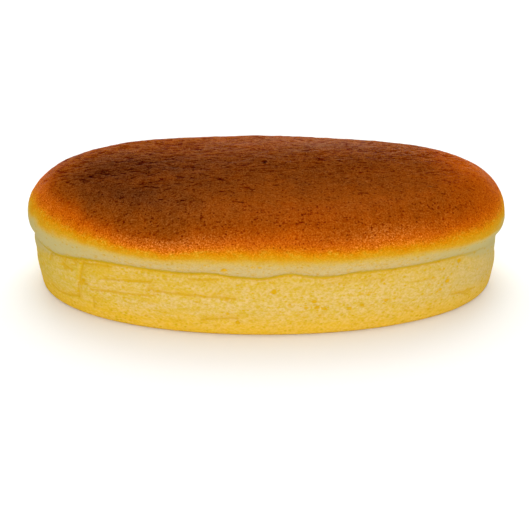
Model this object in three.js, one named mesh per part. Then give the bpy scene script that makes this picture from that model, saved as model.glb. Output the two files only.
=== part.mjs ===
// Jiggly cheesecake: an oval souffle cheesecake, baked in an oval tin and turned out whole.
//
// Millimetres, +Z up, +X along the cake. The origin is the centre of the flat underside.
// The cake is one solid. From the bottom up its skin is the underside, the rounded foot, the wall
// that swells a little as the cake sinks, the crease, the pale lip that folds over the wall, the
// shoulder and the domed brown crust. Each of these is a short function that gives rings.

import * as THREE from "three";

// Driving dimensions.
const LENGTH = 210; // over the lip, along X
const WIDTH = 118; // over the lip, along Y
const HEIGHT = 54; // from the underside to the top of the dome
const OVAL_POWER = 2.09; // 2 would be a true ellipse, and more is squarer

// The skin, read upwards. An inset is measured inwards from the oval of the lip.
const FOOT_RADIUS = 3.5;
const FOOT_INSET = 1.2;
const WALL_SWELL = 0.8; // how far the wall swells past a straight line from foot to waist
const WAIST_INSET = 2.6;
const CREASE_HEIGHT = 26.8;
const CREASE_DEPTH = 1.5;
const CREASE_HALF_GAP = 0.9;
const LIP_HEIGHT = 33; // where the crown is widest
const SHOULDER_INSET = 18.5; // how far in the shoulder runs before the dome takes over
const SHOULDER_POWER = 1.96;
const DOME_RISE = 5.2; // what the dome adds between the lip and the middle
const SHOULDER_RISE = HEIGHT - LIP_HEIGHT - DOME_RISE;

// How finely the skin is divided.
const SECTORS = 144;
const UNDERSIDE_RINGS = 3;
const FOOT_RINGS = 4;
const WALL_RINGS = 8;
const LIP_RINGS = 4;
const SHOULDER_RINGS = 10;
const DOME_RINGS = 7;

const HALF_LENGTH = LENGTH / 2;
const HALF_WIDTH = WIDTH / 2;
const degrees = THREE.MathUtils.degToRad;

// Uneven places of the baked cake. Angles are in degrees round the oval, with 0 at +X and -90 at
// the front, and heights in millimetres.
const LIP_WAVES = [
  { angle: -156, width: 5, lift: -1.0 },
  { angle: -146, width: 7, lift: 1.0 },
  { angle: -114, width: 12, lift: 0.6 },
  { angle: -94, width: 7, lift: -0.8 },
  { angle: -77, width: 5, lift: 0.9 },
  { angle: -64, width: 9, lift: -0.5 },
  { angle: -35, width: 6, lift: 0.5 },
  { angle: -18, width: 8, lift: -0.8 },
  { angle: 28, width: 9, lift: 0.7 },
  { angle: 66, width: 7, lift: -0.9 },
  { angle: 97, width: 10, lift: 0.8 },
  { angle: 139, width: 6, lift: -0.7 },
  { angle: 163, width: 9, lift: 0.6 },
];
// Folds of the baking paper, pressed into the wall as upright furrows.
const PAPER_FOLDS = [
  { angle: -159, foot: 18, top: 27, depth: 0.8 },
  { angle: -152, foot: 2, top: 24, depth: 0.9 },
  { angle: -147, foot: 2, top: 12, depth: 0.7 },
  { angle: -12, foot: 6, top: 23, depth: 0.6 },
  { angle: 24, foot: 2, top: 25, depth: 0.9 },
  { angle: 31, foot: 2, top: 15, depth: 0.6 },
  { angle: 74, foot: 3, top: 20, depth: 0.5 },
  { angle: 112, foot: 2, top: 18, depth: 0.6 },
  { angle: 152, foot: 2, top: 25, depth: 0.8 },
  { angle: 158, foot: 4, top: 20, depth: 0.7 },
];
const FOLD_HALF_WIDTH = 1.1;
// Splits that run along the wall, where the crumb has settled.
const WALL_SPLITS = [
  { from: -137, to: -104, height: 17.5, depth: 0.6 },
  { from: -26, to: -17, height: 8, depth: 0.7 },
  { from: 41, to: 70, height: 15, depth: 0.6 },
  { from: 118, to: 141, height: 19, depth: 0.5 },
];
const SPLIT_HALF_WIDTH = 0.9;

// A smooth bump that is 1 at 0 and fades out over about the given width.
const bump = (distance, width) => Math.exp(-((distance / width) ** 2));

// The shorter way round from one angle to another, in degrees.
const turn = (a, b) => THREE.MathUtils.euclideanModulo(a - b + 180, 360) - 180;

// A ring has its two half axes and its height. Rings inside the shoulder keep the offset of the
// oval, and the underside's and the crown's last rings shrink towards the middle.
const ring = (inset, height, scale = 1) => ({
  a: (HALF_LENGTH - inset) * scale,
  b: (HALF_WIDTH - inset) * scale,
  height,
});

const steps = (count, make) =>
  Array.from({ length: count }, (_, i) => make((i + 1) / count));

function undersideRings() {
  const edge = FOOT_INSET + FOOT_RADIUS;
  return [
    { a: 0, b: 0, height: 0 },
    ...steps(UNDERSIDE_RINGS, (t) => ring(edge, 0, t)),
  ];
}

function footRings() {
  return steps(FOOT_RINGS, (t) => {
    const angle = (t * Math.PI) / 2;
    return ring(
      FOOT_INSET + FOOT_RADIUS * (1 - Math.sin(angle)),
      FOOT_RADIUS * (1 - Math.cos(angle)),
    );
  });
}

// From the foot to just under the crease.
function wallRings() {
  const top = CREASE_HEIGHT - CREASE_HALF_GAP;
  return steps(WALL_RINGS, (t) => {
    const straight = THREE.MathUtils.lerp(FOOT_INSET, WAIST_INSET, t * t);
    return ring(
      straight - WALL_SWELL * Math.sin(Math.PI * t),
      THREE.MathUtils.lerp(FOOT_RADIUS, top, t),
    );
  });
}

function creaseRings() {
  return [ring(WAIST_INSET + CREASE_DEPTH, CREASE_HEIGHT)];
}

// The lip comes out of the crease with a rounded edge and swells to the widest oval.
function lipRings() {
  const start = CREASE_HEIGHT + CREASE_HALF_GAP;
  return Array.from({ length: LIP_RINGS }, (_, i) => {
    const t = i / LIP_RINGS;
    const angle = (t * Math.PI) / 2;
    return ring(
      WAIST_INSET * (1 - Math.sin(angle)),
      THREE.MathUtils.lerp(start, LIP_HEIGHT, t),
    );
  });
}

// Height of the dome over the lip at an inset.
const domeAt = (inset) => DOME_RISE * (1 - (1 - inset / HALF_WIDTH) ** 2);

// Height of the crown at an inset from the lip: a rounded shoulder that the dome carries on.
function crownHeight(inset) {
  const along = Math.min(inset / SHOULDER_INSET, 1);
  const curve = (1 - (1 - along) ** SHOULDER_POWER) ** (1 / SHOULDER_POWER);
  return LIP_HEIGHT + SHOULDER_RISE * curve + domeAt(inset);
}

function shoulderRings() {
  const rings = steps(SHOULDER_RINGS, (t) => {
    const inset = SHOULDER_INSET * (1 - Math.cos((t * Math.PI) / 2));
    return ring(inset, crownHeight(inset));
  });
  return [ring(0, LIP_HEIGHT), ...rings];
}

function domeRings() {
  return steps(DOME_RINGS, (t) => ({
    ...ring(SHOULDER_INSET, HEIGHT, 1 - t),
    onDome: true,
  }));
}

// A point of the oval with these half axes, at an angle round it.
function ovalPoint(a, b, angle) {
  const c = Math.cos(angle);
  const s = Math.sin(angle);
  const reach = 2 / OVAL_POWER;
  return new THREE.Vector2(
    a * Math.sign(c) * Math.abs(c) ** reach,
    b * Math.sign(s) * Math.abs(s) ** reach,
  );
}

// The inset of the oval that passes through a point of the crown, found by halving.
function insetAt(x, y) {
  let low = 0;
  let high = HALF_WIDTH - 1e-3;
  for (let i = 0; i < 40; i += 1) {
    const inset = (low + high) / 2;
    const reach =
      Math.abs(x / (HALF_LENGTH - inset)) ** OVAL_POWER +
      Math.abs(y / (HALF_WIDTH - inset)) ** OVAL_POWER;
    if (reach < 1) low = inset;
    else high = inset;
  }
  return low;
}

// The slightly sunken crust: long low swells along the cake, which fade out towards the lip.
function crustRelief(x, y, inset) {
  const fade = THREE.MathUtils.smoothstep(inset, 4, 24);
  const swell = 0.35 * Math.sin(x / 19 + 0.7) * Math.cos(y / 15 - 0.4);
  const roll = 0.2 * Math.sin(x / 31 - y / 12 + 1.3);
  const sunken = 0.5 * bump(Math.hypot(x + 38, y + 6), 26);
  return fade * (swell + roll - sunken);
}

// How far the lip and the crease are lifted at an angle round the cake.
const lipLift = (angle) =>
  LIP_WAVES.reduce(
    (sum, wave) => sum + wave.lift * bump(turn(angle, wave.angle), wave.width),
    0,
  );

// How deep the wall is pressed in at an angle and a height.
function wallFurrow(angle, height) {
  const reach = degrees(1) * HALF_WIDTH; // millimetres along the wall in one degree, at least
  const inSpan = (value, from, to, soft) =>
    THREE.MathUtils.smoothstep(value, from - soft, from + soft) -
    THREE.MathUtils.smoothstep(value, to - soft, to + soft);
  const folds = PAPER_FOLDS.map(
    (fold) =>
      fold.depth *
      bump(turn(angle, fold.angle) * reach, FOLD_HALF_WIDTH) *
      inSpan(height, fold.foot, fold.top, 2),
  );
  const splits = WALL_SPLITS.map(
    (split) =>
      split.depth *
      bump(height - split.height, SPLIT_HALF_WIDTH) *
      inSpan(angle, split.from, split.to, 3),
  );
  return Math.max(...folds, ...splits);
}

// The wall is a little uneven all round, more so low down.
const wallSway = (angle, height) =>
  0.35 *
  Math.sin(degrees(angle * 3 + 40)) *
  Math.cos((height / CREASE_HEIGHT) * 2.2) +
  0.2 * Math.sin(degrees(angle * 7 - 25) + height / 6);

// One vertex of the skin.
function skinPoint({ a, b, height, onDome }, sector) {
  const turnDegrees = (sector * 360) / SECTORS - 90;
  const angle = turn(turnDegrees, 0);
  const flat = ovalPoint(a, b, degrees(turnDegrees));
  if (onDome || height > LIP_HEIGHT) {
    const inset = insetAt(flat.x, flat.y);
    const z = onDome ? crownHeight(inset) : height;
    return [flat.x, flat.y, z + crustRelief(flat.x, flat.y, inset)];
  }
  if (height === 0) return [flat.x, flat.y, 0];
  const pressed =
    height < CREASE_HEIGHT - CREASE_HALF_GAP
      ? wallFurrow(angle, height) + wallSway(angle, height)
      : 0;
  const along = THREE.MathUtils.smoothstep(height, 16, CREASE_HEIGHT);
  const over = 1 - THREE.MathUtils.smoothstep(height, CREASE_HEIGHT + 2, LIP_HEIGHT);
  const inwards = flat.clone().normalize().multiplyScalar(pressed);
  return [
    flat.x - inwards.x,
    flat.y - inwards.y,
    height + lipLift(angle) * along * over,
  ];
}

// The rings, from the middle of the underside to the top of the dome, make a lathe of the right
// number of points, and each of its vertices then takes its place on the cake's own skin.
function cakeGeometry() {
  const rings = [
    ...undersideRings(),
    ...footRings(),
    ...wallRings(),
    ...creaseRings(),
    ...lipRings(),
    ...shoulderRings(),
    ...domeRings(),
  ];
  const profile = rings.map(({ b, height }) => new THREE.Vector2(b, height));
  const geometry = new THREE.LatheGeometry(profile, SECTORS);
  const position = geometry.getAttribute("position");
  for (let i = 0; i < position.count; i += 1) {
    const sector = Math.floor(i / rings.length) % SECTORS;
    position.setXYZ(i, ...skinPoint(rings[i % rings.length], sector));
  }
  fitToSize(geometry);
  geometry.computeVertexNormals();
  return geometry;
}

// The relief moves the outline a little, so the skin is brought back to the driving dimensions.
function fitToSize(geometry) {
  geometry.computeBoundingBox();
  const { min, max } = geometry.boundingBox;
  geometry.translate(-(min.x + max.x) / 2, -(min.y + max.y) / 2, -min.z);
  geometry.scale(
    LENGTH / (max.x - min.x),
    WIDTH / (max.y - min.y),
    HEIGHT / (max.z - min.z),
  );
}

const bakedCake = new THREE.MeshStandardMaterial({
  color: 0xc98a3a,
  roughness: 0.6,
  metalness: 0,
});

const cake = new THREE.Mesh(cakeGeometry(), bakedCake);
cake.name = "cake";

const cheesecake = new THREE.Group();
cheesecake.add(cake);

export default cheesecake;
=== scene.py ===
import math
import random

import bpy
import numpy as np
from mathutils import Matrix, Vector, noise


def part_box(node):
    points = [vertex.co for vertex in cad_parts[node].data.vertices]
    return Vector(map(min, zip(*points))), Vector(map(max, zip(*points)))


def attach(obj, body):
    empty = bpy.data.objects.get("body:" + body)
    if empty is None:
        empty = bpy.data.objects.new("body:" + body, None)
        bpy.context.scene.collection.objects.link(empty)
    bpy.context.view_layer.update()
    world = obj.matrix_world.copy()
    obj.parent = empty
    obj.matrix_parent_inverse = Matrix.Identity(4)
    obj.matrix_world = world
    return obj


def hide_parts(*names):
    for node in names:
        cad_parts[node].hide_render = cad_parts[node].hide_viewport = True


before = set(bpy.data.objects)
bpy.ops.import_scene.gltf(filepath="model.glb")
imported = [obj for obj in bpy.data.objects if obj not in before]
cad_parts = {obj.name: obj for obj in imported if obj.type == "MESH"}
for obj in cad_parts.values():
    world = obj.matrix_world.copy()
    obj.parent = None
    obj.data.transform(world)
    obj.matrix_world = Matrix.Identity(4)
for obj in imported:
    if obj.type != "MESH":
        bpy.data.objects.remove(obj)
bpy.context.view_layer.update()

# A whole oval souffle cheesecake, baked in an oval tin and turned out. It is modelled as one skin:
# a rounded foot, the pale sponge wall, the crease, the pale lip that folds over it, the shoulder
# and the domed brown crust. Sizes here are in millimetres, heights are above the underside and
# insets are measured inwards from the lip. Angles go round the cake in degrees, with 0 at the
# right end, -90 at the front and 90 at the back.

MM = 0.001
cake_low, cake_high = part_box("cake")
HALF_LENGTH = (cake_high[0] - cake_low[0]) / 2 / MM
HALF_WIDTH = (cake_high[1] - cake_low[1]) / 2 / MM
OVAL_POWER = 2.09  # 2 would be a true ellipse

# The crown, from the lip's widest line up over the shoulder to the middle of the dome.
LIP_HEIGHT = 33.0
SHOULDER_INSET = 18.5
SHOULDER_RISE = 15.8
SHOULDER_POWER = 1.96
DOME_RISE = 5.2

# The rings of the rough form below the lip's widest line, as (inset, height), from the foot up.
OVAL_POINTS = 156
LOWER_RINGS = [
    (4.7, 0.0), (2.9, 0.1), (1.7, 1.1), (1.3, 3.1), (1.1, 5.6), (0.9, 8.3), (0.75, 11.0),
    (0.7, 13.7), (0.8, 16.4), (1.05, 19.0), (1.45, 21.5), (1.9, 23.7), (2.25, 25.3), (2.6, 26.4),
    (3.8, 26.9), (2.4, 27.4), (1.6, 28.5), (0.85, 30.0), (0.25, 31.5), (-0.05, 33.0),
]
CROWN_RING_GAP = 2.95
CROWN_RINGS = 10
TOP_GRID_SPAN = 52
TOP_GRID_START = 11
# The underside is carried inwards by these shares of its size before its flat middle is filled.
UNDERSIDE_STEPS = (0.992, 0.97)


# ---- small helpers ----

def select_only(thing):
    bpy.ops.object.select_all(action="DESELECT")
    thing.select_set(True)
    bpy.context.view_layer.objects.active = thing


def smoothstep(value, start, end):
    t = np.clip((value - start) / (end - start), 0, 1)
    return t * t * (3 - 2 * t)


def bump(distance, width):
    return np.exp(-((distance / width) ** 2))


def look_up(table, place):
    """Reads between the rows of a table of (place, value) pairs."""
    return np.interp(place, *zip(*table))


def turn(a, b):
    """The shorter way from angle b to angle a."""
    return (np.asarray(a) - b + 180) % 360 - 180


def lumps(points, size, octaves=2, seed=0):
    """Soft random lumps about this many millimetres across, from -1 to 1."""
    shift = Vector((17.31 * seed, 5.93 * seed, 31.77 * seed))
    return np.array([
        noise.fractal(Vector(p) + shift, 1.0, 2.0, octaves) for p in points / np.array(size)
    ])


def oval_radius(angle, inset):
    """Distance from the middle to the oval at this inset, at an angle."""
    c, s = np.cos(np.radians(angle)), np.sin(np.radians(angle))
    reach = np.abs(c / (HALF_LENGTH - inset)) ** OVAL_POWER
    reach = reach + np.abs(s / (HALF_WIDTH - inset)) ** OVAL_POWER
    return reach ** (-1 / OVAL_POWER)


def inset_at(x, y):
    """The inset of the oval through each point, found by halving."""
    low = np.full(x.shape, -3.0)
    high = np.full(x.shape, HALF_WIDTH - 1e-3)
    for _ in range(40):
        middle = (low + high) / 2
        reach = np.abs(x / (HALF_LENGTH - middle)) ** OVAL_POWER
        reach += np.abs(y / (HALF_WIDTH - middle)) ** OVAL_POWER
        low = np.where(reach < 1, middle, low)
        high = np.where(reach < 1, high, middle)
    return low


def crown_height(inset):
    along = np.clip(inset / SHOULDER_INSET, 0, 1)
    curve = (1 - (1 - along) ** SHOULDER_POWER) ** (1 / SHOULDER_POWER)
    return LIP_HEIGHT + SHOULDER_RISE * curve + DOME_RISE * (1 - (1 - inset / HALF_WIDTH) ** 2)


def crown_arcs():
    """Insets from the lip to the middle, with the height and the arc length over the crown."""
    insets = np.concatenate([
        SHOULDER_INSET * (1 - np.cos(np.linspace(0, math.pi / 2, 300))),
        np.linspace(SHOULDER_INSET, HALF_WIDTH, 200)[1:],
    ])
    heights = crown_height(insets)
    arcs = np.concatenate([[0], np.cumsum(np.hypot(np.diff(insets), np.diff(heights)))])
    return insets, heights, arcs


def wall_distances():
    """Angles round the cake, with the distance along the wall to each."""
    angles = np.linspace(-180, 180, 2881)
    radii = oval_radius(angles, 1.0)
    across = np.diff(radii * np.cos(np.radians(angles)))
    deep = np.diff(radii * np.sin(np.radians(angles)))
    return angles, np.concatenate([[0], np.cumsum(np.hypot(across, deep))])


CROWN_INSETS, CROWN_HEIGHTS, CROWN_ARCS = crown_arcs()
WALL_ANGLES, WALL_DISTANCES = wall_distances()
ROUND = WALL_DISTANCES[-1]


def along_wall(angle):
    """Distance along the wall from the left end, for placing marks on it."""
    return np.interp(turn(angle, 0), WALL_ANGLES, WALL_DISTANCES)


def wall_gap(a, b):
    """Signed distance along the wall from b to a, the shorter way."""
    return (a - b + ROUND / 2) % ROUND - ROUND / 2


# ---- what the oven and the tin left on the cake ----

# Height of the crease under the lip, as (angle, height).
CREASE = [
    (-180, 25.2), (-174, 24.9), (-169, 24.7), (-165.3, 24.7), (-162.6, 23.8), (-160.2, 23.9),
    (-157.6, 24.4), (-155.3, 25.0), (-152.7, 25.8), (-149.6, 26.7), (-146.6, 27.1), (-143.7, 27.3),
    (-138.4, 27.4), (-132.6, 27.3), (-128.5, 27.1), (-120, 27.0), (-115, 27.4), (-110, 27.5),
    (-106.8, 27.2), (-104.1, 26.5), (-95.9, 26.0), (-92, 25.6), (-88, 26.2), (-84, 27.2),
    (-81, 27.6), (-78, 27.6), (-76.3, 27.1), (-74.3, 26.5), (-69.8, 25.9), (-65, 25.8),
    (-61.5, 26.2), (-58, 26.7), (-54.7, 26.9), (-48, 26.7), (-39, 26.6), (-33, 26.5), (-27.4, 26.3),
    (-22, 25.9), (-10, 26.3), (0, 26.7), (10, 26.6), (19, 26.8), (28, 27.4),
    (41, 26.7), (53, 27.3), (66, 26.0), (79, 26.9), (88, 27.6), (97, 27.5), (108, 26.4),
    (121, 26.9), (139, 26.1), (152, 27.2), (163, 27.2), (172, 26.2), (180, 25.2),
]
CREASE_MIDDLE = 26.9
CREASE_WAVE = 0.35  # how far the crease wanders at the back
CREASE_LIFTS_ABOVE = 3.6  # how far above the crease the skin still follows it, and below it
CREASE_LIFTS_BELOW = 5.5
# How far the lip sags at the right end of the cake, as (angle, millimetres).
LIP_SAG = [(-180, 0), (-26, 0), (-17, 1.2), (-9, 3.0), (0, 3.6), (9, 2.4), (20, 0), (180, 0)]
# How the crease opens into a smooth neck at both ends of the cake: the share of the neck by angle,
# its outline as (height above the crease, inset), and how far the wall below it draws in.
NECK_SHARE = [
    (-180, 1), (-172, 1), (-160, 0), (-24, 0), (-13, 1), (12, 1), (22, 0), (160, 0), (172, 1),
    (180, 1),
]
NECK_OUTLINE = [
    (-10, 0.9), (-7, 1.2), (-4, 1.65), (-1.5, 1.9), (0.5, 1.95), (2.0, 1.75), (3.5, 1.2), (5, 0.45),
    (6.5, -0.05),
]
NECK_DEPTH = [
    (-180, 0.45), (-171, 0.45), (-160, 0), (-25, 0), (-13, 0.05), (12, 0.05), (24, 0), (160, 0),
    (171, 0.45), (180, 0.45),
]
WALL_DRAWN_IN = [
    (-180, 1.3), (-171, 1.2), (-160, 0.5), (-148, 0), (-25, 0), (-12, 0.7), (12, 0.7), (24, 0),
    (148, 0), (160, 0.5), (171, 1.2), (180, 1.3),
]
GROOVE_FILL = 0.5  # how much shallower the crease is than in the rough form
# How far the cake strays from an even oval: the crown at the right end reaches further, the foot
# below it swells, the lip at the left end and the shoulder at the right back are pressed in, and
# the crown rises a little at the left back.
RIGHT_END_STRETCH = 0.8
RIGHT_FOOT_SWELL = 0.5
LEFT_END_PRESS = 0.5
RIGHT_BACK_TUCK = 0.55
LEFT_BACK_RISE = 0.5
# How strongly the crease's painted shade line is drawn, as (angle, share). It softens at both ends
# of the cake.
CREASE_SHOWN = [
    (-180, 0), (-172, 0.05), (-164, 0.7), (-155, 0.9), (-140, 0.8), (-100, 0.9), (-60, 0.8),
    (-30, 0.8), (-22, 0.5), (-15, 0.1), (-8, 0), (8, 0), (22, 0.7), (90, 0.8), (155, 0.8),
    (168, 0.3), (180, 0),
]

# How far the back of the crown rises above an even dome, as (x, millimetres).
BACK_UNEVEN = [
    (-100, 0), (-80, 0.25), (-68, 0.1), (-55, -0.1), (-40, -0.3), (-24, -0.45), (-12, -0.2),
    (-2, 0.15), (15, 0), (26, -0.35), (44, -0.55), (56, -0.15), (65, -0.1), (75, 0.35),
    (85, 0.15), (100, -0.2),
]

# How far up from the lip's widest line the crust is half browned, as (angle, millimetres).
# At the back the reach is longer, so that the back rim is paler: partly its own browning, partly a
# painted sheen.
BROWNING_REACH = [
    (-180, 15.7), (-172, 15.2), (-168, 14.0), (-163, 12.6), (-157, 11.6), (-150, 9.5), (-140, 6.8),
    (-135, 6.0), (-128, 5.6), (-122, 5.9), (-116, 7.4), (-110, 7.8), (-100, 8.3), (-90, 8.5),
    (-82, 8.5), (-76, 8.9), (-68, 7.5), (-60, 6.9), (-50, 7.8), (-40, 7.5), (-34, 7.0), (-28, 7.5),
    (-20, 7.6), (-10, 10.4), (-4, 12.6), (0, 14.0), (12, 13.4), (25, 11.0), (40, 10.6), (55, 12.8),
    (70, 13.6), (85, 13.2), (100, 13.6), (115, 14.2), (130, 12.0), (145, 12.0), (160, 12.8),
    (171, 14.5), (180, 15.5),
]
# How far along the browning curve the lip's widest line already is, as (angle, millimetres).
BROWNING_START = [
    (-180, 0.1), (-165, 0.3), (-156, 0.6), (-148, 0.3), (-140, 0.5), (-133, 1.2), (-124, 1.3),
    (-115, 0.5), (-105, 0.2), (-92, 0.3), (-80, 0.7), (-66, 1.0), (-56, 0.7), (-45, 1.1),
    (-35, 1.4), (-27, 2.1), (-19, 2.3), (-10, 1.2), (0, 0.7), (20, 0.6), (180, 0.6),
]
# How much the browning hangs back before it catches up, as (angle, power).
BROWNING_LAG = [
    (-180, 1.35), (-171, 1.35), (-164, 1.2), (-156, 1.05), (-148, 1.2), (-140, 1.05), (-132, 1.0),
    (-50, 1.0), (-32, 1.1), (0, 1.15), (20, 1.0), (160, 1.0), (180, 1.35),
]
# Browning with distance up from the lip where the reach is 8 mm.
BROWNING_CURVE = [
    (-2.5, 0.0), (0, 0.04), (1, 0.09), (2, 0.15), (3, 0.21), (4, 0.27), (5, 0.33), (6, 0.4),
    (8, 0.5), (10, 0.58), (12, 0.65), (15, 0.72), (22, 0.78), (33, 0.85), (48, 0.9),
]
# Darker and paler places of the crust, as (x, y, half length, half width, amount).
CRUST_PATCHES = [
    (-67, -31, 13, 9, 0.11), (-73, -10, 15, 20, 0.11), (-46, -8, 28, 18, 0.05),
    (-62, -20, 20, 22, 0.045), (-32, -50, 26, 7, 0.07), (-62, 17, 26, 13, 0.028),
    (-46, -41, 18, 8, 0.07), (-54, -31, 16, 8, 0.05), (6, 6, 30, 14, 0.02), (38, -34, 30, 9, -0.03),
    (62, -22, 26, 12, -0.015), (88, 2, 14, 26, -0.15), (0, 34, 60, 10, 0.03),
    (-82, -20, 9, 9, 0.05), (-48, -34, 26, 11, 0.02),
    (22, -46, 11, 7, -0.045), (66, 8, 26, 18, 0.03), (40, -10, 26, 16, -0.022),
    (78, -36, 14, 12, 0.015),
]

# Places of the front shoulder lightened by painted glints, where the browning is also a little
# deeper, as (x, y, half length, half width, amount).
PAINTED_GLINT_PLACES = [(-36, -50, 22, 13, 1.0), (44, -47, 20, 13, 0.8), (-88, -22, 12, 12, 0.3)]

# Air bubbles that opened on the wall and the lip, as (angle, height, size, depth).
OPEN_BUBBLES = [
    (-111.7, 32.4, 0.6, 0.30), (-105.2, 30.2, 1.1, 0.55), (-95, 32.2, 0.55, 0.28),
    (-91.9, 32.0, 0.75, 0.35), (-83.6, 33.5, 0.5, 0.22), (-56.5, 32.7, 0.6, 0.25),
    (-51.7, 32.6, 0.5, 0.22), (-38.8, 32.2, 0.5, 0.2), (-132.2, 28.9, 0.6, 0.25),
    (-86.6, 20.7, 1.1, 0.6), (-25, 24.0, 1.1, 0.5), (-29.3, 17.0, 1.1, 0.55),
    (-31.3, 14.0, 0.8, 0.45), (-70.3, 13.5, 1.0, 0.6), (-74.3, 13.5, 0.8, 0.4),
    (-67.5, 12.7, 0.8, 0.45), (-69.2, 9.7, 0.7, 0.35), (-59, 12.0, 0.9, 0.5),
    (-54.8, 13.0, 0.8, 0.45), (-47.3, 14.1, 0.9, 0.45), (-71.4, 16.1, 0.9, 0.5),
    (-48.1, 22.9, 0.8, 0.35), (-31.2, 23.0, 0.7, 0.3), (-104.4, 10.9, 0.7, 0.35),
    (-100.6, 6.8, 0.9, 0.6), (-150.9, 17.0, 1.0, 0.6), (-132.8, 6.5, 0.6, 0.4),
    (-33.8, 5.6, 0.7, 0.4),
]
# Splits along the wall and folds of the baking paper down it, as runs of (angle, height) with
# a depth and a half width. The sponge on the left of each run is a little lower, and painted more
# golden as shade.
WALL_LINES = [
    ([(-131.5, 19.0), (-126, 18.7), (-119, 18.5), (-112, 18.2), (-101, 17.6)], 0.6, 0.55),
    ([(-144.4, 20.4), (-137.6, 21.5), (-130.6, 22.1)], 0.45, 0.5),
    ([(-148.6, 14.1), (-143, 15.4), (-137, 15.8), (-129, 16.5)], 0.45, 0.5),
    ([(-142.5, 25.9), (-146, 25.9), (-149.5, 25.2), (-151.7, 24.7)], 0.5, 0.5),
    ([(-108, 25.5), (-114, 25.1), (-119, 24.9)], 0.35, 0.5),
    ([(-151.2, 27.0), (-151.5, 22), (-152.3, 15), (-152.5, 8.8)], 0.9, 0.6),
    ([(-152.2, 16.4), (-150.7, 15.7), (-149.2, 16.3)], 0.7, 0.7),
    ([(-163, 8.2), (-160.2, 6.9), (-157.1, 6.9), (-152.8, 8.8)], 0.7, 0.7),
    ([(-157.8, 21.4), (-154.2, 20.2)], 0.45, 0.6),
    ([(-147.9, 10.6), (-148.3, 5.6)], 0.65, 0.6),
    ([(-114, 7.4), (-108, 8.4), (-100.5, 8.7)], 0.6, 0.7),
    ([(-25, 9.2), (-21.5, 6.2)], 0.7, 0.8),
    ([(-28, 9.9), (-20, 8.4)], 0.4, 0.7),
    ([(-162.6, 26.0), (-162, 20.6)], 0.55, 0.6),
    ([(-157.4, 25.2), (-156.6, 19.6)], 0.45, 0.6),
    ([(-155.6, 26.4), (-153.2, 23.2)], 0.5, 0.6),
    ([(-40, 20.2), (-33, 19.8)], 0.25, 0.7),
    ([(-66, 23.6), (-55, 23.9), (-46, 23.5)], 0.15, 0.6),
    ([(18, 13.6), (27, 14.2), (38, 13.7)], 0.45, 0.6),
    ([(24, 26.0), (24.6, 17), (23.8, 8)], 0.45, 0.6),
    ([(31, 11.5), (32.2, 5)], 0.35, 0.6),
    ([(44, 18.8), (53, 19.3), (63, 18.7), (72, 18.9)], 0.5, 0.55),
    ([(74, 21), (75.6, 12)], 0.3, 0.7),
    ([(84, 12.2), (92, 11.7), (99, 12.1)], 0.45, 0.6),
    ([(90, 23.2), (103, 22.6)], 0.3, 0.5),
    ([(112, 15), (113.6, 6)], 0.35, 0.6),
    ([(117, 17.2), (128, 17.9), (141, 17.3)], 0.5, 0.55),
    ([(152, 26), (152.4, 18), (151.6, 7)], 0.7, 0.6),
    ([(158, 17), (159.4, 9)], 0.35, 0.6),
    ([(172, 14.5), (181, 15.0), (189, 14.6)], 0.4, 0.6),
    ([(-8, 19.2), (3, 18.6)], 0.35, 0.55),
]
# Where the paper pressed the sponge smooth, as (angle, height, half angle, half height).
SMOOTH_PATCHES = [
    (-160, 14, 7, 9), (-20, 17, 8, 6), (-122, 12.5, 15, 3.2), (28, 10, 5, 5), (155, 13, 5, 8),
    (95, 17.5, 10, 3),
]
# Small bubbles between them. They are this wide at least, and the rare large ones more.
RANDOM_BUBBLES = 420
SMALLEST_BUBBLE = 0.36
BUBBLE_SPREAD = 0.45
BUBBLE_DEPTH = 0.4  # as a share of its size
BUBBLE_SPACING = 1.6  # as a share of the sizes of two neighbours
BUBBLE_STRETCH = 1.35  # how much wider than high a bubble is

# Short cracks and wrinkles of the dried crust. They run mostly along the cake, and there are more
# of them at the back and the left, as (x, y, half length, half width, share).
CRACKS = 2600
CRACK_SHARE = 0.03
SHORTEST_CRACK = 1.3
CRACK_SPREAD = 3.6
CRACK_STEP = 0.9
CRACK_WANDER = 0.28
CRACK_DEPTHS = (0.05, 0.12)
CRACK_HALF_WIDTHS = (0.42, 0.56)
CRACK_CLEAR_OF_LIP = 8
CRACKED_PLACES = [
    (-55, 8, 40, 24, 0.8), (45, 16, 40, 18, 0.5), (0, 28, 70, 16, 0.4),
    (-44, -20, 34, 14, 0.34), (8, 10, 36, 12, 0.25),
]

# A pinhole in the crust, as (x, y, half length, half width), and a few scars, as runs of (x, y)
# with a depth and a half width.
PINHOLE = (-0.2, -2.4, 0.8, 1.25)
PINHOLE_DEPTH = 1.0
CRUST_SCARS = [
    ([(11.5, -51.2), (14, -50.4), (17, -51.0)], 0.20, 0.34),
    ([(13.2, -47.8), (16.3, -46.8), (18.6, -47.6)], 0.20, 0.34),
    ([(66.5, -24.6), (69.5, -25.4), (72.5, -24.9)], 0.25, 0.36),
    ([(64, -37.0), (66.8, -38.2)], 0.22, 0.4),
    ([(42.6, -17.2), (44.0, -19.5), (43.6, -21.6)], 0.22, 0.36),
]

# Heights and depths of the skin's relief.
CROWN_SWELL = 0.35
CROWN_CROSS_SWELL = 0.2
CROWN_SINK = 0.5
CRUST_LUMPS = 0.22
CRUST_PEBBLES = 0.10
WRINKLE_DEPTH = 0.16
WALL_LUMPS = 0.4
CRUMB_LAYERS = 0.05
CRUMB_GRAINS = 0.03
LIP_LUMPS = 0.08


# ---- the rough form ----

def all_rings():
    """The rings from the foot up over the lip, and on up the crown at even gaps."""
    rings = list(LOWER_RINGS)
    for ring in range(1, CROWN_RINGS + 1):
        inset = float(np.interp(ring * CROWN_RING_GAP, CROWN_ARCS, CROWN_INSETS))
        rings.append((inset, float(crown_height(inset))))
    return rings


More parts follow.
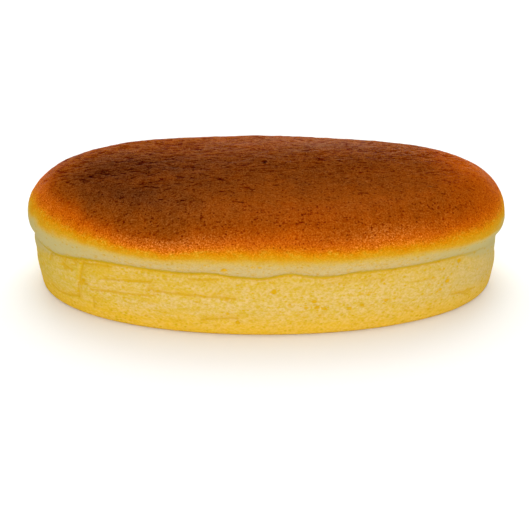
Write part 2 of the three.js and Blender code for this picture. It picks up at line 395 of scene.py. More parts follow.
def rough_form():
    """An oval drawn up ring by ring, closed over the crown with a grid, and smoothed."""
    rings = all_rings()
    bpy.ops.object.select_all(action="DESELECT")
    bpy.ops.mesh.primitive_circle_add(vertices=OVAL_POINTS, radius=1, location=(0, 0, 0))
    cake = bpy.context.object
    cake.name = "cheesecake"
    inset, height = rings[0]
    places = np.interp(np.arange(OVAL_POINTS) * ROUND / OVAL_POINTS, WALL_DISTANCES, WALL_ANGLES)
    reach = oval_radius(places, 0.0)
    for vertex, angle, far in zip(cake.data.vertices, np.radians(places), reach):
        vertex.co = (
            far * math.cos(angle) * (HALF_LENGTH - inset) / HALF_LENGTH * MM,
            far * math.sin(angle) * (HALF_WIDTH - inset) / HALF_WIDTH * MM,
            height * MM,
        )
    bpy.ops.object.mode_set(mode="EDIT")
    bpy.ops.mesh.select_mode(type="EDGE")
    bpy.ops.mesh.select_all(action="SELECT")
    for (inset, height), (new_inset, new_height) in zip(rings, rings[1:]):
        bpy.ops.mesh.extrude_edges_move(
            TRANSFORM_OT_translate={"value": (0, 0, (new_height - height) * MM)})
        grow = [(half - new_inset) / (half - inset) for half in (HALF_LENGTH, HALF_WIDTH)]
        bpy.ops.transform.resize(value=(*grow, 1), center_override=(0, 0, 0))
    bpy.ops.mesh.fill_grid(span=TOP_GRID_SPAN, offset=TOP_GRID_START)
    bpy.ops.mesh.select_all(action="SELECT")
    bpy.ops.mesh.normals_make_consistent(inside=False)
    bpy.ops.object.mode_set(mode="OBJECT")
    soften = cake.modifiers.new("soften", "SUBSURF")
    soften.levels = soften.render_levels = 2
    bpy.ops.object.modifier_apply(modifier=soften.name)
    return cake


def close_underside(cake):
    """Carries the foot's edge inwards in two steps and fills the flat middle."""
    bpy.ops.object.mode_set(mode="EDIT")
    bpy.ops.mesh.select_mode(type="EDGE")
    bpy.ops.mesh.select_all(action="DESELECT")
    bpy.ops.mesh.select_non_manifold(extend=False)
    for shrink in UNDERSIDE_STEPS:
        bpy.ops.mesh.extrude_edges_move()
        bpy.ops.transform.resize(value=(shrink, shrink, 1), center_override=(0, 0, 0))
    bpy.ops.mesh.fill(use_beauty=True)
    bpy.ops.mesh.select_all(action="SELECT")
    bpy.ops.mesh.normals_make_consistent(inside=False)
    bpy.ops.object.mode_set(mode="OBJECT")


# ---- relief and the fields that colour it ----

def read(mesh, what):
    values = np.empty(len(mesh.vertices) * 3)
    mesh.vertices.foreach_get(what, values)
    return values.reshape(-1, 3)


def place(mesh, points):
    mesh.vertices.foreach_set("co", (points * MM).ravel())
    mesh.update()


def run_distance(a, b, run):
    """Distance from each point (a, b) to a broken line, and which side of it the point is on."""
    nearest = np.full(a.shape, 1e9)
    side = np.ones(a.shape)
    for (a0, b0), (a1, b1) in zip(run, run[1:]):
        da, db = a1 - a0, b1 - b0
        t = np.clip(((a - a0) * da + (b - b0) * db) / (da * da + db * db), 0, 1)
        away = np.hypot(a - a0 - t * da, b - b0 - t * db)
        side = np.where(away < nearest, np.sign(da * (b - b0) - db * (a - a0)), side)
        nearest = np.minimum(nearest, away)
    return nearest, side


def run_overshoot(a, b, run):
    """How far each point lies past either end of a broken line."""
    past = np.zeros(a.shape)
    for (a0, b0), (a1, b1) in ((run[1], run[0]), (run[-2], run[-1])):
        da, db = a1 - a0, b1 - b0
        past = np.maximum(past, ((a - a1) * da + (b - b1) * db) / math.hypot(da, db))
    return past


def crust_cracks():
    """Each crack as a run of (x, y), with a depth and a half width."""
    random.seed(5)
    cracks = []
    for _ in range(CRACKS):
        x = random.uniform(-HALF_LENGTH, HALF_LENGTH)
        y = random.uniform(-HALF_WIDTH, HALF_WIDTH)
        share = CRACK_SHARE + sum(
            amount * math.exp(-((x - px) / half_x) ** 2 - ((y - py) / half_y) ** 2)
            for px, py, half_x, half_y, amount in CRACKED_PLACES)
        length = SHORTEST_CRACK + CRACK_SPREAD * random.random() ** 2
        heading = random.gauss(0, 0.3)
        depth = random.uniform(*CRACK_DEPTHS)
        rare = random.random() > share
        if rare or inset_at(np.array([x]), np.array([y]))[0] < CRACK_CLEAR_OF_LIP:
            continue
        run = [(x, y)]
        for _ in range(max(1, round(length / CRACK_STEP))):
            heading = 0.75 * heading + random.gauss(0, CRACK_WANDER)
            x, y = x + CRACK_STEP * math.cos(heading), y + CRACK_STEP * math.sin(heading)
            run.append((x, y))
        cracks.append((run, depth, random.uniform(*CRACK_HALF_WIDTHS)))
    return cracks


def wall_bubbles():
    """The open bubbles that show, and random small ones between them."""
    random.seed(8)
    bubbles = list(OPEN_BUBBLES)
    for _ in range(RANDOM_BUBBLES):
        size = SMALLEST_BUBBLE + BUBBLE_SPREAD * random.random() ** 3
        angle, height = random.uniform(-180, 180), random.uniform(2.5, 25.0)
        crowded = any(
            math.hypot(wall_gap(along_wall(angle), along_wall(other)), height - other_height)
            < BUBBLE_SPACING * (size + other_size)
            for other, other_height, other_size, _ in bubbles)
        if not crowded:
            bubbles.append((angle, height, size, size * BUBBLE_DEPTH))
    return bubbles


class Skin:
    """The skin's vertices in millimetres, and where on the cake each one lies."""

    def __init__(self, mesh):
        self.mesh = mesh
        self.x, self.y, self.z = (read(mesh, "co") / MM).T
        self.inset = inset_at(self.x, self.y)
        self.angle = np.degrees(np.arctan2(self.y, self.x))
        self.round_at = along_wall(self.angle)
        self.above = self.z > LIP_HEIGHT
        self.relief = np.zeros(len(self.x))

    def points(self):
        return np.stack([self.x, self.y, self.z], 1)

    def spot(self, x, y, half_length, half_width):
        """A soft oval spot seen from above, 1 in its middle."""
        return bump(np.hypot((self.x - x) / half_length, (self.y - y) / half_width), 1)

    def store(self, name, *values):
        """Keeps one number, or three, for each vertex, for the material to read."""
        kind, key = ("FLOAT", "value") if len(values) == 1 else ("FLOAT_VECTOR", "vector")
        values = np.stack(values, 1).astype(np.float32)
        self.mesh.attributes.new(name, kind, "POINT").data.foreach_set(key, values.ravel())


def raise_crown(skin):
    """Lifts the rough crown onto its true dome."""
    rise = smoothstep(skin.inset, 4, 9) * (crown_height(skin.inset) - skin.z)
    skin.z += np.where(skin.above, rise, 0)
    skin.crown = smoothstep(skin.z, LIP_HEIGHT - 1, LIP_HEIGHT + 3)


def fold_crease(skin):
    """Lets the crease rise and dip with the lip, and opens it into a neck at both ends."""
    x, y, z, angle = skin.x, skin.y, skin.z, skin.angle
    lift = sum(look_up(CREASE, turn(angle + step, 0)) for step in (-1.4, 0, 1.4)) / 3
    lift -= CREASE_MIDDLE
    flat = np.stack([x, y, 0 * z], 1)
    wave = lumps(flat, 9, 2, 3) * CREASE_WAVE * smoothstep(y, -25, 5)
    sag = look_up(LIP_SAG, angle)
    follows = np.where(z > CREASE_MIDDLE, CREASE_LIFTS_ABOVE, CREASE_LIFTS_BELOW)
    z += (lift + wave) * bump(z - CREASE_MIDDLE, follows)
    z -= sag * np.where(z > CREASE_MIDDLE, 1 - smoothstep(z, 30, 41), smoothstep(z, 14, 27))
    crease = CREASE_MIDDLE + lift + wave - sag
    gap = z - crease

    neck_share = look_up(NECK_SHARE, angle)
    fade = 9 * neck_share
    skin.wall = 1 - smoothstep(z, crease - 0.5 - fade, crease + 0.5)
    outline = sum(look_up(NECK_OUTLINE, gap + step) for step in (-1.2, -0.6, 0, 0.6, 1.2)) / 5
    share = neck_share * smoothstep(gap, -9, -6) * (1 - smoothstep(gap, 4.5, 6.5))
    neck = share * (outline - skin.inset)
    neck += look_up(NECK_DEPTH, angle) * bump(gap - 0.8, 4.4)
    neck -= GROOVE_FILL * (1 - neck_share) * bump(gap, 0.5)
    neck += look_up(WALL_DRAWN_IN, angle) * smoothstep(crease - z, 2.5, 8.5)
    keep = 1 - neck / np.hypot(x, y)
    skin.x, skin.y, skin.crease = x * keep, y * keep, crease


def make_uneven(skin):
    """Stretches and presses the two ends, and raises and lowers the far side of the crown."""
    x, y, z = skin.x, skin.y, skin.z
    x += RIGHT_END_STRETCH * smoothstep(x, 55, 100) * smoothstep(z, 26, 32)
    x += RIGHT_FOOT_SWELL * smoothstep(x, 55, 100) * smoothstep(-z, -18, -11)
    x += LEFT_END_PRESS * smoothstep(-x, 80, 102) * smoothstep(z, 29, 34)
    x -= RIGHT_BACK_TUCK * bump(turn(skin.angle, 25), 13) * smoothstep(z, 33, 40)
    z += look_up(BACK_UNEVEN, x) * smoothstep(y, 12, 38) * smoothstep(z, 38, 46)
    z += LEFT_BACK_RISE * skin.spot(-62, 36, 24, 16) * skin.above


def crust_relief(skin):
    """The crown's long swells, soft lumps, wrinkles and fine pebbling, and the marks on it."""
    x, y, z, above, crown = skin.x, skin.y, skin.z, skin.above, skin.crown
    points = skin.points()
    inner = smoothstep(skin.inset, 4, 24) * above
    skin.relief += inner * (
        CROWN_SWELL * np.sin(x / 19 + 0.7) * np.cos(y / 15 - 0.4)
        + CROWN_CROSS_SWELL * np.sin(x / 31 - y / 12 + 1.3)
        - CROWN_SINK * skin.spot(-38, -6, 26, 26))
    skin.relief += crown * CRUST_LUMPS * lumps(points, 11, 2, 5)
    drift = 1.6 * lumps(points, 5, 2, 7)
    wrinkle = lumps(np.stack([x, y + drift, z], 1), (6.5, 2.6, 2.6), 2, 9)
    patchy = lumps(points, (8, 6, 6), 2, 11)
    left_back = 0.12 * skin.spot(-45, 5, 45, 30)
    wrinkled = smoothstep(patchy, -left_back, 0.3 - left_back)
    wrinkled = wrinkled * smoothstep(skin.inset, 5, 12) * above
    skin.relief -= WRINKLE_DEPTH * wrinkled * bump(wrinkle, 0.16)
    skin.relief += crown * CRUST_PEBBLES * lumps(points, (2.6, 1.7, 1.7), 2, 13)

    marks = np.zeros(len(points))
    for run, depth, half_width in CRUST_SCARS + crust_cracks():
        (x0, y0), reach = run[0], 2 + CRACK_STEP * len(run)
        near = (np.abs(x - x0) < reach) & (np.abs(y - y0) < reach) & above
        mark = bump(run_distance(x[near], y[near], run)[0], half_width)
        skin.relief[near] -= depth * mark
        marks[near] = np.maximum(marks[near], mark)
    pin = skin.spot(*PINHOLE) * above
    skin.relief -= PINHOLE_DEPTH * pin
    skin.store("crust", wrinkle, wrinkled, np.maximum(marks, 3 * pin))


def wall_relief(skin):
    """The wall is a little uneven, with the crumb's low layers, and pressed smooth in places."""
    z, wall, points = skin.z, skin.wall, skin.points()
    skin.sponge = 1 - smoothstep(z, LIP_HEIGHT - 2, LIP_HEIGHT + 2)
    skin.sponge = skin.sponge * smoothstep(z, 0.2, 2.0)
    pressed = np.zeros(len(points))
    for angle, height, half_angle, half_height in SMOOTH_PATCHES:
        away = np.hypot(turn(skin.angle, angle) / half_angle, (z - height) / half_height)
        pressed = np.maximum(pressed, 1 - smoothstep(away, 0.6, 1.2))
    rough = wall * (1 - 0.7 * pressed) * smoothstep(z, 0.3, 2)
    skin.relief += wall * smoothstep(z, 0.5, 5) * WALL_LUMPS * lumps(points, 20, 2, 15)
    skin.relief += rough * CRUMB_LAYERS * lumps(points, (9, 9, 1.8), 2, 17)
    skin.relief += rough * CRUMB_GRAINS * lumps(points, 2.4, 2, 18)
    skin.relief += skin.sponge * (1 - wall) * LIP_LUMPS * lumps(points, 8, 2, 19)
    skin.store("sponge", wall, pressed, skin.sponge)


def open_bubbles(skin):
    """Each open bubble keeps its own small grid, so that the material can draw it round."""
    bubble = np.zeros((len(skin.z), 3))
    closest = np.full(len(skin.z), 2.0)
    for angle, height, size, depth in wall_bubbles():
        near = np.flatnonzero((np.abs(skin.z - height) < 3) & (skin.sponge > 0))
        across = wall_gap(skin.round_at[near], along_wall(angle)) / (BUBBLE_STRETCH * size)
        up = (skin.z[near] - height) / size
        away = np.hypot(across, up)
        skin.relief[near] -= depth * bump(away, 1) * skin.sponge[near]
        nearer = away < closest[near]
        kept = near[nearer]
        closest[kept] = away[nearer]
        shown = (1 - smoothstep(away, 1.3, 2.0)) * min(1, depth * 2.2)
        bubble[kept] = np.stack([across, up, shown], 1)[nearer]
    skin.store("bubble", *bubble.T)


def open_splits(skin):
    """Splits and folds. The signed gap to the nearest one draws it finer than the mesh is."""
    z, sponge = skin.z, skin.sponge
    line_gap = np.full(len(z), 9.0)
    line_shown = np.zeros(len(z))
    line_shade = np.zeros(len(z))
    fray = 0.3 * lumps(skin.points(), 3.0, 2, 21)
    for run, depth, half_width in WALL_LINES:
        ends = [(along_wall(angle), height) for angle, height in run]
        middle = ends[len(ends) // 2][0]
        path = [(wall_gap(far, middle), height) for far, height in ends]
        a, b = wall_gap(skin.round_at, middle) + fray, z + fray
        away, side = run_distance(a, b, path)
        inside = 1 - smoothstep(run_overshoot(a, b, path), -0.8, 1.0)
        skin.relief -= depth * bump(away, half_width) * inside * sponge
        step = smoothstep(away * side, -0.4, 0.4) * inside * sponge
        skin.relief -= 0.35 * depth * step * bump(away, 2.6)
        line_shade = np.maximum(line_shade, min(1, depth * 1.3) * step * bump(away, 2.4))
        nearer = away < np.abs(line_gap)
        line_gap = np.where(nearer, away * side, line_gap)
        line_shown = np.where(nearer, min(1, depth * 3) * inside, line_shown)

    # The crease's painted shade line is drawn wider than a split's, and widest on its upper side.
    gap = z - skin.crease
    nearer = np.abs(gap) < np.abs(line_gap)
    line_gap = np.where(nearer, gap * np.where(gap > 0, 0.42, 0.72), 0.84 * line_gap)
    line_shown = np.where(nearer, look_up(CREASE_SHOWN, skin.angle), line_shown)
    line_shown = line_shown * (1 - smoothstep(np.abs(line_gap), 1.5, 3))
    skin.store("line", line_gap, line_shown, line_shade)


def brown(skin):
    """Browning climbs from the lip, at a reach that changes round the cake."""
    points = skin.points()
    arc = np.interp(skin.z, CROWN_HEIGHTS, CROWN_ARCS)
    arc += smoothstep(skin.inset, 3, 8) * (np.interp(skin.inset, CROWN_INSETS, CROWN_ARCS) - arc)
    arc = np.where(skin.above, arc, skin.z - LIP_HEIGHT)
    reach, start, lag = (
        look_up(table, skin.angle) for table in (BROWNING_REACH, BROWNING_START, BROWNING_LAG))
    climb = start + (8 - start) * np.sign(arc) * np.abs(arc / reach) ** lag
    climb += 0.9 * lumps(points, 6, 3, 23) * smoothstep(arc, -1, 4)
    browning = look_up(BROWNING_CURVE, climb)
    for x, y, half_length, half_width, amount in CRUST_PATCHES:
        patch = skin.spot(x, y, half_length, half_width)
        browning += amount * patch * smoothstep(browning, 0.5, 0.7)
    browning += 0.03 * lumps(points, 9, 3, 25) * smoothstep(browning, 0.4, 0.7)
    # Painted glints: in these places the browning is a little deeper, and the material lightens it
    # with painted glints and sheen.
    painted_glint = np.zeros(len(points))
    for x, y, half_length, half_width, amount in PAINTED_GLINT_PLACES:
        painted_glint = np.maximum(painted_glint, amount * skin.spot(x, y, half_length, half_width))
    painted_glint *= smoothstep(browning, 0.28, 0.42) * (1 - smoothstep(browning, 0.6, 0.74))
    skin.store("browning", browning + 0.05 * painted_glint)
    skin.store("painted_glint", painted_glint)


def settle(cake):
    """Gives the skin its true crown, its crease and its relief, and stores what colours it."""
    skin = Skin(cake.data)
    for shape in (raise_crown, fold_crease, make_uneven):
        shape(skin)
    place(skin.mesh, skin.points())
    normals = read(skin.mesh, "normal")
    for add_relief in (crust_relief, wall_relief, open_bubbles, open_splits):
        add_relief(skin)
    relief = skin.relief * smoothstep(skin.z, 0.0, 0.8)
    place(skin.mesh, skin.points() + normals * relief[:, None])
    brown(skin)


# ---- materials ----

def srgb(red, green, blue):
    """A colour by its usual 0 to 255 values, as the linear light that nodes use."""
    channels = [c / 255 for c in (red, green, blue)]
    light = [c / 12.92 if c <= 0.04045 else ((c + 0.055) / 1.055) ** 2.4 for c in channels]
    return (*light, 1)


class Nodes:
    """Adds nodes to a material, joined as they are made."""

    def __init__(self, name):
        self.material = bpy.data.materials.new(name)
        self.material.use_nodes = True
        self.tree = self.material.node_tree
        self.shader = self.tree.nodes["Principled BSDF"]
        self.place = self.add("TexCoord").outputs["Object"]

    def add(self, kind, ins=(), **settings):
        made = self.tree.nodes.new("ShaderNode" + kind)
        for key, value in settings.items():
            setattr(made, key, value)
        for key, value in dict(ins).items():
            self.put(made.inputs[key], value)
        return made

    def put(self, socket, value):
        if isinstance(value, bpy.types.NodeSocket):
            self.tree.links.new(value, socket)
        else:
            socket.default_value = value

    def math(self, operation, a, b=0.0):
        return self.add("Math", {0: a, 1: b}, operation=operation).outputs[0]

    def times(self, first, *others):
        for other in others:
            first = self.math("MULTIPLY", first, other)
        return first

    def plus(self, a, b):
        return self.math("ADD", a, b)

    def swing(self, value, amount=1.0):
        """A value from 0 to 1 as a swing to both sides of nothing."""
        return self.times(self.math("SUBTRACT", value, 0.5), amount)

    def band(self, value, start, end, low=0.0, high=1.0):
        """A smooth step from low to high as the value goes from start to end."""
        made = self.add("MapRange", {"Value": value, "From Min": start, "From Max": end,
                                     "To Min": low, "To Max": high},
                        interpolation_type="SMOOTHSTEP")
        return made.outputs["Result"]

    def scaled_place(self, millimetres, stretch, shift):
        made = self.add("Mapping", {"Vector": self.place, "Location": (shift, shift, shift),
                                    "Scale": [1 / (millimetres * MM * s) for s in stretch]})
        return made.outputs[0]

    def noise(self, millimetres, detail=2.0, rough=0.5, stretch=(1, 1, 1), shift=0.0):
        made = self.add("TexNoise", {"Vector": self.scaled_place(millimetres, stretch, shift),
                                     "Scale": 1.0, "Detail": detail, "Roughness": rough})
        return made.outputs[0]

    def cells(self, millimetres, stretch=(1, 1, 1), shift=0.0):
        """Distance to the nearest of many scattered points, and two random numbers for it."""
        made = self.add("TexVoronoi", {"Vector": self.scaled_place(millimetres, stretch, shift),
                                       "Scale": 1.0})
        pick = self.add("SeparateColor", {0: made.outputs["Color"]}).outputs
        return made.outputs["Distance"], pick[0], pick[1]

    def mix(self, share, a, b):
        made = self.add("Mix", data_type="RGBA")
        self.put(made.inputs[0], share)
        self.put(made.inputs[6], a)
        self.put(made.inputs[7], b)
        return made.outputs[2]

    def lighten(self, colour, amount):
        """Adds the same amount to every channel of a colour, on the scale that the eye sees."""
        seen = self.add("Gamma", {0: colour, 1: 1 / 2.2}).outputs[0]
        seen = self.add("VectorMath", {0: seen, 1: amount}, operation="ADD").outputs[0]
        seen = self.add("VectorMath", {0: seen, 1: (0, 0, 0)}, operation="MAXIMUM").outputs[0]
        return self.add("Gamma", {0: seen, 1: 2.2}).outputs[0]

    def ramp(self, value, stops):
        made = self.add("ValToRGB", {"Fac": value})
        ramp = made.color_ramp
        while len(ramp.elements) < len(stops):
            ramp.elements.new(0.5)
        for element, (at, colour) in zip(ramp.elements, stops):
            element.position = at
            element.color = colour
        return made.outputs["Color"]

    def bump(self, height, millimetres, normal=None):
        ins = {"Height": height, "Distance": millimetres * MM, "Strength": 1.0}
        if normal is not None:
            ins["Normal"] = normal
        return self.add("Bump", ins).outputs["Normal"]

    def stored(self, name):
        return self.add("Attribute", attribute_name=name).outputs["Fac"]

    def stored_three(self, name):
        return self.split(self.add("Attribute", attribute_name=name).outputs["Vector"])

    def split(self, vector):
        return self.add("SeparateXYZ", {0: vector}).outputs


# The crust from the pale lip to its darkest brown.
CRUST_COLOURS = [
    (0.00, srgb(208, 184, 124)), (0.09, srgb(212, 174, 80)), (0.17, srgb(215, 155, 26)),
    (0.27, srgb(217, 138, 5)), (0.38, srgb(210, 112, 4)), (0.50, srgb(194, 90, 3)),
    (0.60, srgb(176, 80, 3)), (0.70, srgb(158, 71, 3)), (0.80, srgb(142, 67, 6)),
    (0.90, srgb(121, 58, 9)), (1.00, srgb(97, 46, 10)),
]
CRUST_PORE = srgb(214, 168, 40)
# Painted shade: the inside of the pinhole is drawn near black.
PINHOLE_SHADE = srgb(45, 22, 8)
# The lip at both ends: greyer, and darker as painted shade where it turns away from the light.
LIP_ENDS_TONE_AND_SHADE = srgb(193, 180, 122)
# Painted shade inside the pores of the lip.
LIP_PORE_SHADE = srgb(202, 156, 20)

CRUMB_YELLOW = srgb(222, 184, 60)
CRUMB_PALE = srgb(228, 195, 125)
CRUMB_LAYER = srgb(222, 181, 42)
# The two ends of the wall: partly their own tone, partly painted shade where they turn away from
# the light.
WALL_RIGHT_END_TONE_AND_SHADE = srgb(206, 179, 112)
WALL_LEFT_END_TONE_AND_SHADE = srgb(203, 173, 64)
# The foot: partly a browned bottom edge, partly painted yellow bounce light.
GOLDEN_FOOT_AND_BOUNCE_LIGHT = srgb(242, 190, 34)
# Painted shade on the wall just under the lip.
SHADE_UNDER_THE_LIP = srgb(215, 172, 36)
# Painted shade and bounce light inside the pores and open bubbles, which are drawn darker and
# yellower.
WALL_PORE_SHADE = srgb(217, 173, 6)
OPEN_BUBBLE = srgb(220, 169, 0)
# Painted shade on the lower side beside each split and fold.
SHADE_BESIDE_A_SPLIT = srgb(223, 173, 30)
# Painted shade in the splits and in the crease.
SHADE_IN_A_SPLIT = srgb(214, 163, 0)
SHADE_IN_THE_CREASE = srgb(198, 163, 8)


def crust_marks(n, browning, coarse, back):
    """The crust's cracks and wrinkles, and its pits and specks, as shares from 0 to 1."""
    wrinkle, wrinkled, marks = n.stored_three("crust")
    line = n.band(n.math("ABSOLUTE", wrinkle), 0.0, 0.06, 1.0, 0.0)
    line = n.times(line, wrinkled, back, 0.6)
    line = n.math("MAXIMUM", line, n.band(marks, 0.36, 0.85))
    hair = n.swing(n.noise(2.0, 2, 0.5, (2.4, 0.8, 1), 5.0))
    hair = n.band(n.math("ABSOLUTE", hair), 0.0, 0.06, 1.0, 0.0)
    sparse = n.band(n.noise(2.4, 2, 0.5, (1.3, 1, 1), 8.0), 0.46, 0.55)
    hair = n.times(hair, sparse, back, 0.4, n.band(browning, 0.45, 0.7))
    line = n.math("MAXIMUM", line, hair)

    # Specks in three sizes: where they are, how rare and how wide.
    everywhere = n.band(browning, 0.24, 0.45, 0.0, 0.8)
    browned = n.times(n.band(back, 0.0, 1.0, 0.65, 0.8), n.band(browning, 0.5, 0.7, 0.0, 0.9))
    at_the_back = n.times(back, n.band(browning, 0.6, 0.75, 0.0, 0.85))
    specks = 0.0
    fray = n.swing(coarse, 0.5)
    for size, stretch, shift, rare, wide, where in (
        (1.1, (1.1, 1, 1), 1.0, 0.55, 0.36, everywhere),
        (1.7, (1.5, 0.9, 1), 3.0, 0.52, 0.36, browned),
        (2.3, (2.1, 0.62, 1), 6.0, 0.3, 0.42, at_the_back),
    ):
        near, pick, other_pick = n.cells(size, stretch, shift)
        speck = n.band(n.plus(near, fray), wide * 0.6, wide, 1.0, 0.0)
        speck = n.times(speck, n.band(pick, rare, rare + 0.03))
        speck = n.times(speck, n.band(other_pick, 0.0, 1.0, 0.5, 1.0), where)
        specks = n.math("MAXIMUM", specks, speck)
    return line, specks


def crust_colour(n, browning, grain, coarse, back, line, speck):
    """Browning by the ramp, then painted glints and shade on the grain, painted shade in the
    cracks, and the specks.
    """
    mottle = n.swing(n.noise(4.5, 3, 0.6), 0.12)
    mottle = n.times(mottle, n.band(browning, 0.0, 0.5, 0.35, 1))
    crust = n.ramp(n.plus(browning, mottle), CRUST_COLOURS)
    pored = n.band(coarse, 0.52, 0.34, 0.0, 0.5)
    crust = n.mix(n.times(pored, n.band(browning, 0.3, 0.45, 1.0, 0.0)), crust, CRUST_PORE)
    # Painted glints and shade: the grain's light and dark, and the coarse swing at the back, stand
    # in for glints and shade on the crust's fine relief.
    light = n.swing(grain, n.band(browning, 0.1, 0.42, 0.14, 0.50))
    light = n.times(light, n.band(browning, 0.52, 0.72, 1.0, 0.85))
    rough = n.times(n.band(browning, 0.5, 0.8), n.band(back, 0.0, 1.0, 0.08, 0.11))
    light = n.plus(light, n.swing(coarse, rough))
    # Painted glints and a painted sheen on the pale places of the front shoulder.
    painted_glints_and_sheen = n.plus(n.band(grain, 0.45, 0.65, 0.0, 0.10), 0.04)
    light = n.plus(light, n.times(painted_glints_and_sheen, n.stored("painted_glint")))
    # Painted shade in the cracks and wrinkles.
    light = n.plus(light, n.times(line, -0.14))
    light = n.plus(light, n.times(speck, -0.15))
    crust = n.lighten(crust, light)
    # The pinhole drawn near black, as painted shade inside it.
    pin = n.band(n.stored_three("crust")[2], 1.2, 2.0)
    return n.mix(pin, crust, PINHOLE_SHADE)


def wall_colour(n, crumb, pore):
    """Pale crumb in low layers, with pores painted darker and yellower as shade, more golden at the
    foot partly as painted bounce light, and painted shade at the ends and under the lip.
    """
    layer = n.noise(5.0, 3, 0.6, (2.4, 2.4, 0.4), 7.0)
    patch = n.noise(1.8, 2, 0.5, (1.3, 1.3, 0.9), 15.0)
    paler = n.plus(n.times(crumb, 0.6), n.times(patch, 0.4))
    colour = n.mix(n.band(paler, 0.36, 0.62), CRUMB_YELLOW, CRUMB_PALE)
    along, _, height = n.split(n.place)
    layer = n.times(n.band(layer, 0.42, 0.62), n.band(along, -0.01, -0.05, 0.3, 0.7))
    colour = n.mix(layer, colour, CRUMB_LAYER)
    # Both ends of the wall: partly their own tone, partly painted shade where they turn away from
    # the light.
    colour = n.mix(n.band(along, 0.045, 0.1, 0.0, 0.6), colour, WALL_RIGHT_END_TONE_AND_SHADE)
    colour = n.mix(n.band(along, -0.060, -0.102, 0.0, 0.6), colour, WALL_LEFT_END_TONE_AND_SHADE)
    # More golden at the foot: partly a browned bottom edge, partly painted yellow bounce light.
    colour = n.mix(n.band(height, 0.001, 0.014, 0.7, 0.0), colour, GOLDEN_FOOT_AND_BOUNCE_LIGHT)
    # Painted shade on the wall just under the lip.
    colour = n.mix(n.band(height, 0.018, 0.026, 0.0, 0.25), colour, SHADE_UNDER_THE_LIP)
    colour = n.lighten(colour, n.swing(crumb, 0.12))
    # The pores drawn darker and yellower, as painted shade inside them.
    return n.mix(n.times(pore, 0.9), colour, WALL_PORE_SHADE)


def baked_cake():
    n = Nodes("baked cheesecake")
    browning = n.stored("browning")
    wall, pressed, sponge = n.stored_three("sponge")
    along, across_cake, _ = n.split(n.place)
    far_out = n.math("ABSOLUTE", along)
    back = n.band(across_cake, -0.045, 0.005)
    on_crust = n.times(n.band(browning, 0.12, 0.5), n.math("SUBTRACT", 1.0, wall))
    grain = n.noise(0.52, 2, 0.6, (1.2, 1, 1), 4.0)
    coarse = n.noise(1.3, 2, 0.6, (1.5, 0.9, 1), 12.0)
    line, speck = crust_marks(n, browning, coarse, back)
    crust = crust_colour(n, browning, grain, coarse, back, line, speck)

    crumb = n.noise(0.9, 3, 0.6, (1.3, 1.3, 0.9), 3.0)
    near, pick, _ = n.cells(1.6, (1.3, 1.3, 0.85), 5.0)
    wide = n.band(far_out, 0.02, 0.06, 0.36, 0.46)
    pore = n.times(n.band(near, 0.16, wide, 1.0, 0.0), n.band(pick, 0.58, 0.63))
    pore = n.times(pore, n.band(pressed, 0.0, 1.0, 1.0, 0.15))
    # The lip at both ends is greyer, and darker as painted shade where it turns away from the
    # light.
    greyer_and_shaded = n.times(n.band(far_out, 0.05, 0.085, 0.0, 0.8), n.band(browning, 0.02, 0.15, 1.0, 0.0))
    crust = n.mix(greyer_and_shaded, crust, LIP_ENDS_TONE_AND_SHADE)
    # Painted shade inside the pores of the lip.
    lip_pore = n.times(pore, n.band(browning, 0.12, 0.3, 0.55, 0.0))
    crust = n.mix(lip_pore, crust, LIP_PORE_SHADE)
    colour = n.mix(wall, crust, wall_colour(n, crumb, pore))

    # Painted shade in the splits, folds and the crease, drawn thin and yellow, painted shade beside
    # the splits, and the open bubbles.
    gap, shown, shade = n.stored_three("line")
    # Painted shade on the lower side beside each split and fold.
    colour = n.mix(n.times(shade, 0.8), colour, SHADE_BESIDE_A_SPLIT)
    ragged = n.swing(n.noise(1.2, 2, 0.6, shift=11.0), 0.8)
    gap = n.math("ABSOLUTE", n.plus(gap, ragged))
    thin = n.times(n.band(gap, 0.15, 0.62, 1.0, 0.0), shown)
    drawn = n.mix(n.band(wall, 0.6, 1.0), SHADE_IN_THE_CREASE, SHADE_IN_A_SPLIT)
    colour = n.mix(thin, colour, drawn)
    # The open bubbles drawn darker and yellower, as painted shade and bounce light inside them.
    across, up, hollow = n.stored_three("bubble")
    away = n.math("SQRT", n.plus(n.math("POWER", across, 2.0), n.math("POWER", up, 2.0)))
    hollow = n.times(n.band(n.plus(away, ragged), 0.5, 1.1, 1.0, 0.0), hollow)
    colour = n.mix(n.times(hollow, 0.95), colour, OPEN_BUBBLE)

    # Relief too fine for the mesh.
    normal = n.bump(n.times(grain, on_crust), 0.30)
    normal = n.bump(n.times(coarse, n.band(browning, 0.4, 0.75)), 0.35, normal)
    normal = n.bump(n.times(n.noise(1.0, 3, 0.6, shift=2.0), sponge), 0.12, normal)
    normal = n.bump(n.plus(line, speck), -0.24, normal)
    normal = n.bump(n.times(crumb, wall), 0.2, normal)
    dents = n.plus(n.times(pore, wall), n.plus(thin, hollow))
    normal = n.bump(dents, -0.06, normal)

    ins = n.shader.inputs
    n.put(ins["Base Color"], colour)
    n.put(ins["Normal"], normal)
    n.put(ins["Roughness"], n.band(browning, 0.2, 0.6, 0.65, 0.5))
    n.put(ins["Specular IOR Level"], 0.0)
    n.put(ins["Coat Weight"], n.band(n.math("MAXIMUM", line, speck), 0.0, 0.8, 0.06, 0.015))
    n.put(ins["Coat Roughness"], 0.3)
    n.put(ins["Coat IOR"], 1.15)
    n.put(ins["Subsurface Weight"], n.band(browning, 0.1, 0.5, 0.15, 0.03))
    n.put(ins["Subsurface Radius"], (1.0, 0.55, 0.2))
    n.put(ins["Subsurface Scale"], 0.003)
    return n.material


cake = rough_form()
settle(cake)
close_underside(cake)
select_only(cake)
bpy.ops.object.shade_smooth()
cake.data.materials.append(baked_cake())
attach(cake, "root")
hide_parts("cake")


# ---- floor, light and camera, in metres ----

CAMERA_PLACE = (0, -0.320, 0.1696)
CAMERA_DOWN = 27.56
CAMERA_LENS = 52.77
CAMERA_SENSOR = 36
SKY_STRENGTH = 0.22
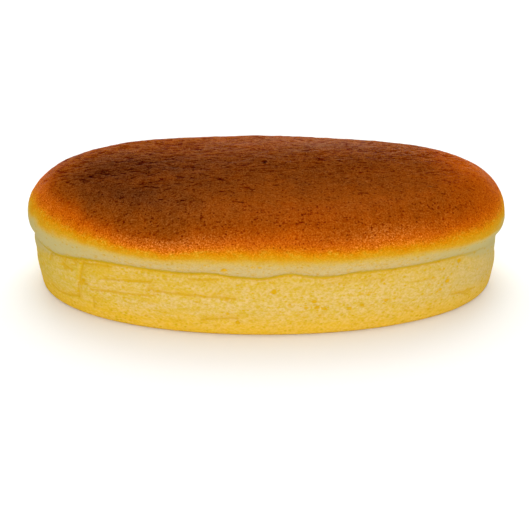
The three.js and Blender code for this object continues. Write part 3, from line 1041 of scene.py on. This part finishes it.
# Softboxes, as (name, place, what it points at, size, watts, colour).
SOFTBOXES = [
    ("front softbox", (0, -1.0, 0.7), (0, 0, 0.03), (0.7, 0.5), 8.0, (1, 1, 1)),
    ("overhead softbox", (0, 0.1, 1.2), (0, 0, 0), (1.0, 0.8), 6.0, (1, 1, 1)),
    ("backdrop softbox", (0, 0.9, 1.4), (0, 0.8, 0), (1.4, 0.6), 9.0, (1, 1, 1)),
    ("back softbox", (0, 1.0, 0.12), (0, 0, 0.05), (2.2, 0.16), 13.2, (0.93, 1.0, 0.80)),
]


def plain_floor():
    bpy.ops.object.select_all(action="DESELECT")
    bpy.ops.mesh.primitive_plane_add(size=8, location=(0, 0, 0))
    floor = bpy.context.object
    floor.name = "floor"
    n = Nodes("pale floor")
    n.put(n.shader.inputs["Base Color"], (0.95, 0.95, 0.95, 1))
    n.put(n.shader.inputs["Roughness"], 0.8)
    floor.data.materials.append(n.material)


def soft_light(name, location, aim, size, watts, colour):
    light = bpy.data.lights.new(name, "AREA")
    light.shape = "RECTANGLE"
    light.size, light.size_y = size
    light.energy = watts
    light.color = colour
    lamp = bpy.data.objects.new(name, light)
    lamp.location = location
    lamp.rotation_euler = (Vector(aim) - Vector(location)).to_track_quat("-Z", "Y").to_euler()
    bpy.context.collection.objects.link(lamp)


def studio():
    world = bpy.data.worlds.new("studio")
    bpy.context.scene.world = world
    world.use_nodes = True
    sky = world.node_tree.nodes["Background"].inputs
    sky["Color"].default_value = (1, 1, 1, 1)
    sky["Strength"].default_value = SKY_STRENGTH
    for softbox in SOFTBOXES:
        soft_light(*softbox)

    lens = bpy.data.cameras.new("camera")
    lens.sensor_width = CAMERA_SENSOR
    lens.lens = CAMERA_LENS
    camera = bpy.data.objects.new("camera", lens)
    camera.location = CAMERA_PLACE
    camera.rotation_euler = (math.radians(90 - CAMERA_DOWN), 0, 0)
    bpy.context.collection.objects.link(camera)
    bpy.context.scene.camera = camera
    bpy.context.scene.view_settings.view_transform = "Standard"


plain_floor()
studio()
